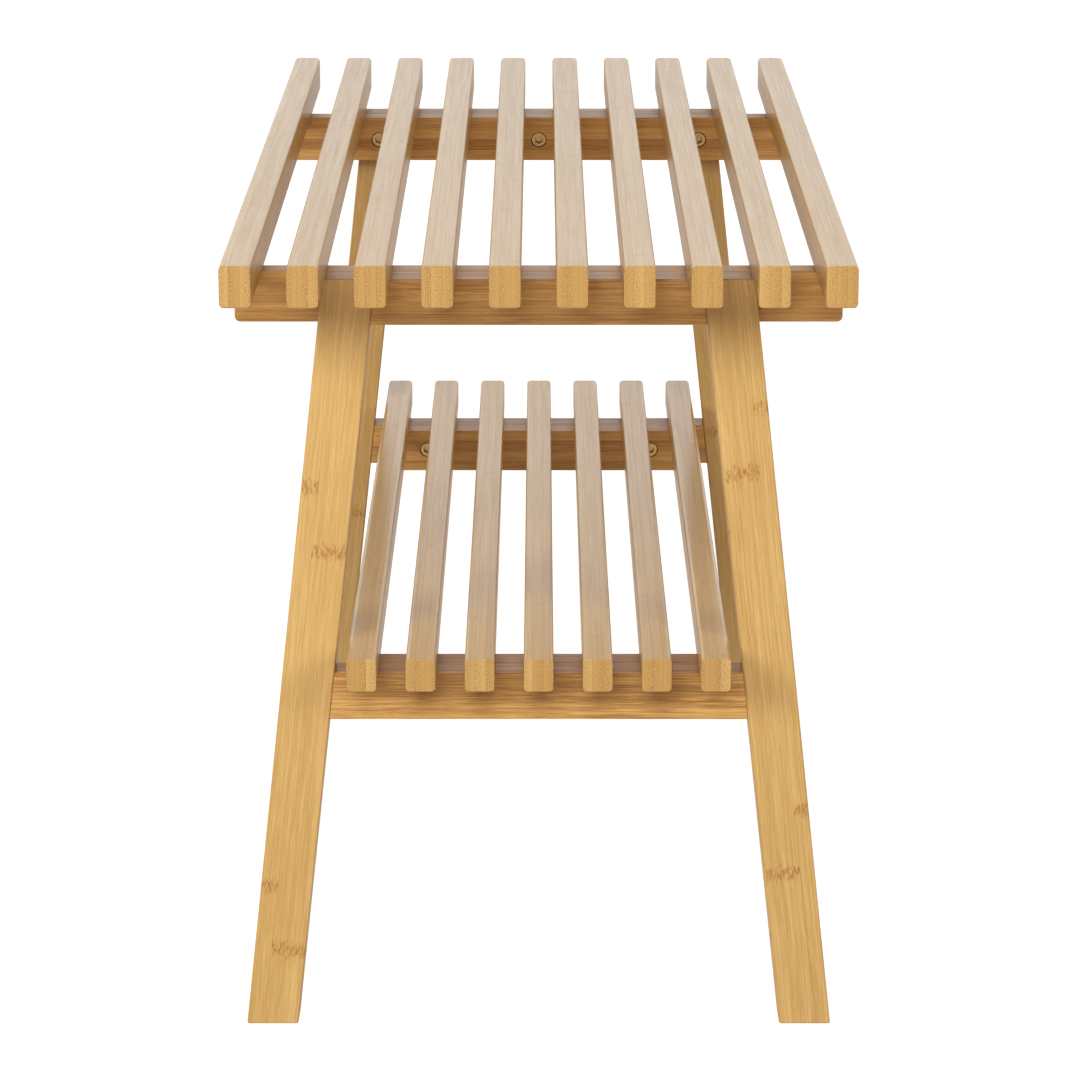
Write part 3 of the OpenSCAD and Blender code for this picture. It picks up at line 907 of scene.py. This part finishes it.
class BENCH_OT_bolts(Step):
    """Builds the socket-head bolts that hold the battens to the frames"""

    bl_idname = "bench.bolts"
    bl_label = "Bolts"

    def build(self, context, sizes, colours):
        end = EndFrame()
        material = metal("Zinc plate", colours.zinc, ZINC_STAIN, ZINC_SPREAD, ZINC_GLOSS)
        into = end.direction(1, 0, 0)
        batches = (("seat", FRAME_TOP, sizes.seat_bolt_drop), ("shelf", SHELF_LEVEL, sizes.shelf_bolt_drop))
        for label, level, drop in batches:
            down = -end.drop_to(level) - drop if label == "shelf" else -drop
            rows = bolt_rows(label)
            start = end.place(end.batten_inner + sizes.bolt_sink, rows[0], down)
            bolt = rod("Bolt", start, into, sizes.bolt_head, sizes.bolt_head_height, 48)
            start_edit(bolt)
            tip = start + into * sizes.bolt_head_height
            pick(bolt, "FACE", lambda f: (f.calc_center_median() - tip).length < 1e-4)
            bpy.ops.mesh.inset(thickness=(sizes.bolt_head - sizes.bolt_shank) / 2, depth=0)
            shank = sizes.batten_thickness - sizes.bolt_sink - sizes.bolt_head_height + sizes.bolt_bite
            bpy.ops.mesh.extrude_region_move(TRANSFORM_OT_translate={"value": into * shank})
            pick(bolt, "EDGE", lambda e: all(abs((v.co - start).dot(into)) < NEAR for v in e.verts))
            bpy.ops.mesh.bevel(offset=0.7 * MM, segments=3, affect="EDGES")
            end_edit()
            socket = rod("Socket cutter", start - into * MM, into, sizes.bolt_socket / math.cos(math.pi / 6),
                         sizes.bolt_socket_depth + MM, 6)
            drill(bolt, [socket])
            soften(bolt, 0.12 * MM, 1, 55)
            bolts = [bolt] + [copy_of(bolt, "Bolt", (0, y - rows[0], 0)) for y in rows[1:]]
            right = joined(bolts, f"{label}_bolts_right_shaped")
            for piece, x_end, _ in both_ends(right, f"{label}_bolts_left_shaped"):
                finish_piece(piece, f"{label}_bolts_{x_end}", material)


class BENCH_OT_fittings(Step):
    """Gives the screws, inserts and dowels their finishes"""

    bl_idname = "bench.fittings"
    bl_label = "Screws, inserts and dowels"

    def build(self, context, sizes, colours):
        finishes = {
            "screws": metal("Zinc plate", colours.zinc, ZINC_STAIN, ZINC_SPREAD, ZINC_GLOSS),
            "inserts": metal("Turned brass", colours.brass, BRASS_STAIN, BRASS_SPREAD, BRASS_GLOSS),
            "dowels": dowel_wood(colours.dowel),
        }
        for kind, material in finishes.items():
            named = [node for name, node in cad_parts.items() if f"_{kind}_" in name]
            if not named:
                raise RuntimeError(f"The frame has no {kind}")
            for node in named:
                node.data.materials.clear()
                node.data.materials.append(material)


def dowel_wood(colour):
    """Bare wood whose fibres run across the bench"""
    material = bpy.data.materials.new("Dowel wood")
    material.use_nodes = True
    net = Net(material.node_tree)
    surface = material.node_tree.nodes["Principled BSDF"]
    place = net.add("ShaderNodeTexCoord").outputs["Object"]
    fibres = net.noise(net.vector("MULTIPLY", place, (900.0, 45.0, 900.0)), 3.0, 0.6)
    dark = [0.7 * part for part in colour]
    net.feed(surface.inputs["Base Color"], net.mix(net.fade(fibres, 0.3, 0.7), rgba(colour), rgba(dark)))
    net.feed(surface.inputs["Roughness"], net.fade(fibres, 0.2, 0.8, 0.5, 0.65))
    relief = net.add("ShaderNodeBump", {"Height": fibres, "Strength": 0.3, "Distance": 0.0002})
    net.feed(surface.inputs["Normal"], relief.outputs[0])
    return material


# The studio ------------------------------------------------------------------------------------

def soft_light(name, place, size, power):
    """A soft light aimed at the bench, seen neither by the camera nor in the gloss"""
    light = bpy.data.lights.new(name, "AREA")
    light.shape, light.size, light.size_y, light.energy = "RECTANGLE", size[0], size[1], power
    lamp = bpy.data.objects.new(name, light)
    bpy.context.scene.collection.objects.link(lamp)
    lamp.location = place
    lamp.rotation_euler = (Vector(LIGHT_AIM) - Vector(place)).to_track_quat("-Z", "Y").to_euler()
    lamp.visible_camera = lamp.visible_glossy = False


class BENCH_OT_stage(Step):
    """Builds the pale floor, the soft lights and the camera"""

    bl_idname = "bench.stage"
    bl_label = "Studio"

    def build(self, context, sizes, colours):
        only()
        bpy.ops.mesh.primitive_grid_add(x_subdivisions=4, y_subdivisions=4, size=sizes.floor_size)
        floor = bpy.context.object
        floor.name = floor.data.name = "Studio_floor"
        material = bpy.data.materials.new("Studio paper")
        material.use_nodes = True
        net = Net(material.node_tree)
        surface = material.node_tree.nodes["Principled BSDF"]
        place = net.add("ShaderNodeTexCoord").outputs["Object"]
        cloud = net.noise(net.vector("SCALE", place, 3.0), 3.0, 0.5)
        dim = [0.97 * part for part in colours.floor]
        net.feed(surface.inputs["Base Color"], net.mix(cloud, rgba(colours.floor), rgba(dim)))
        surface.inputs["Roughness"].default_value = 0.9
        surface.inputs["Specular IOR Level"].default_value = 0.2
        surface.inputs["Emission Color"].default_value = (1, 1, 1, 1)
        rays = net.add("ShaderNodeLightPath").outputs
        seen = net.math("MULTIPLY", rays["Is Camera Ray"], FLOOR_GLOW)
        glow = net.math("MULTIPLY_ADD", rays["Is Glossy Ray"], FLOOR_GLOW_IN_GLOSS, seen)
        net.feed(surface.inputs["Emission Strength"], glow)
        floor.data.materials.append(material)

        world = bpy.data.worlds.new("Studio")
        context.scene.world = world
        world.use_nodes = True
        net = Net(world.node_tree)
        up = net.split(net.add("ShaderNodeTexCoord").outputs["Generated"])[2]
        rays = net.add("ShaderNodeLightPath").outputs
        fill = net.fade(up, *SKY_FILL)
        sheen = net.math("MULTIPLY", rays["Is Glossy Ray"], net.fade(up, *SKY_SHEEN))
        strength = net.math("MAXIMUM", net.math("MAXIMUM", fill, sheen), rays["Is Camera Ray"])
        background = world.node_tree.nodes["Background"]
        tint = net.mix(rays["Is Diffuse Ray"], (1, 1, 1, 1), SHADE_TINT)
        net.feed(background.inputs["Color"], tint)
        net.feed(background.inputs["Strength"], strength)

        for name, place, size, power in LIGHTS:
            soft_light(name, place, size, power)

        camera = bpy.data.cameras.new("Camera")
        camera.sensor_fit, camera.sensor_width, camera.lens = "HORIZONTAL", SENSOR, LENS
        camera.clip_end = 100
        viewer = bpy.data.objects.new("Camera", camera)
        context.scene.collection.objects.link(viewer)
        seat_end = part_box("seat_slat_01")[1].x
        viewer.location = (seat_end + CAMERA_AWAY, CAMERA_ASIDE, SEAT_TOP + CAMERA_ABOVE)
        viewer.rotation_euler = (math.radians(90 - CAMERA_TILT), 0, math.radians(90))
        context.scene.camera = viewer
        context.scene.view_settings.view_transform = "Standard"


class BENCH_PT_panel(bpy.types.Panel):
    """Sizes, colours and building steps of the bench"""

    bl_idname = "BENCH_PT_panel"
    bl_label = "Slatted bench"
    bl_space_type = "VIEW_3D"
    bl_region_type = "UI"
    bl_category = "Bench"

    def draw(self, context):
        layout = self.layout
        for step in STEPS:
            layout.operator(step.bl_idname)
        for title, group in (("Sizes", context.scene.bench_sizes), ("Colours", context.scene.bench_colours)):
            layout.label(text=title)
            for name in group.__annotations__:
                layout.prop(group, name)


STEPS = (
    BENCH_OT_seat_slats, BENCH_OT_shelf_slats, BENCH_OT_legs, BENCH_OT_rails, BENCH_OT_battens,
    BENCH_OT_bolts, BENCH_OT_fittings, BENCH_OT_stage,
)
CLASSES = (BenchSizes, BenchColours, *STEPS, BENCH_PT_panel)


def register():
    for one in CLASSES:
        bpy.utils.register_class(one)
    bpy.types.Scene.bench_sizes = PointerProperty(type=BenchSizes)
    bpy.types.Scene.bench_colours = PointerProperty(type=BenchColours)


def unregister():
    del bpy.types.Scene.bench_colours
    del bpy.types.Scene.bench_sizes
    for one in reversed(CLASSES):
        bpy.utils.unregister_class(one)


def main():
    register()
    for step in (
        bpy.ops.bench.seat_slats, bpy.ops.bench.shelf_slats, bpy.ops.bench.legs, bpy.ops.bench.rails,
        bpy.ops.bench.battens, bpy.ops.bench.bolts, bpy.ops.bench.fittings, bpy.ops.bench.stage,
    ):
        step()


if __name__ == "__main__":
    main()
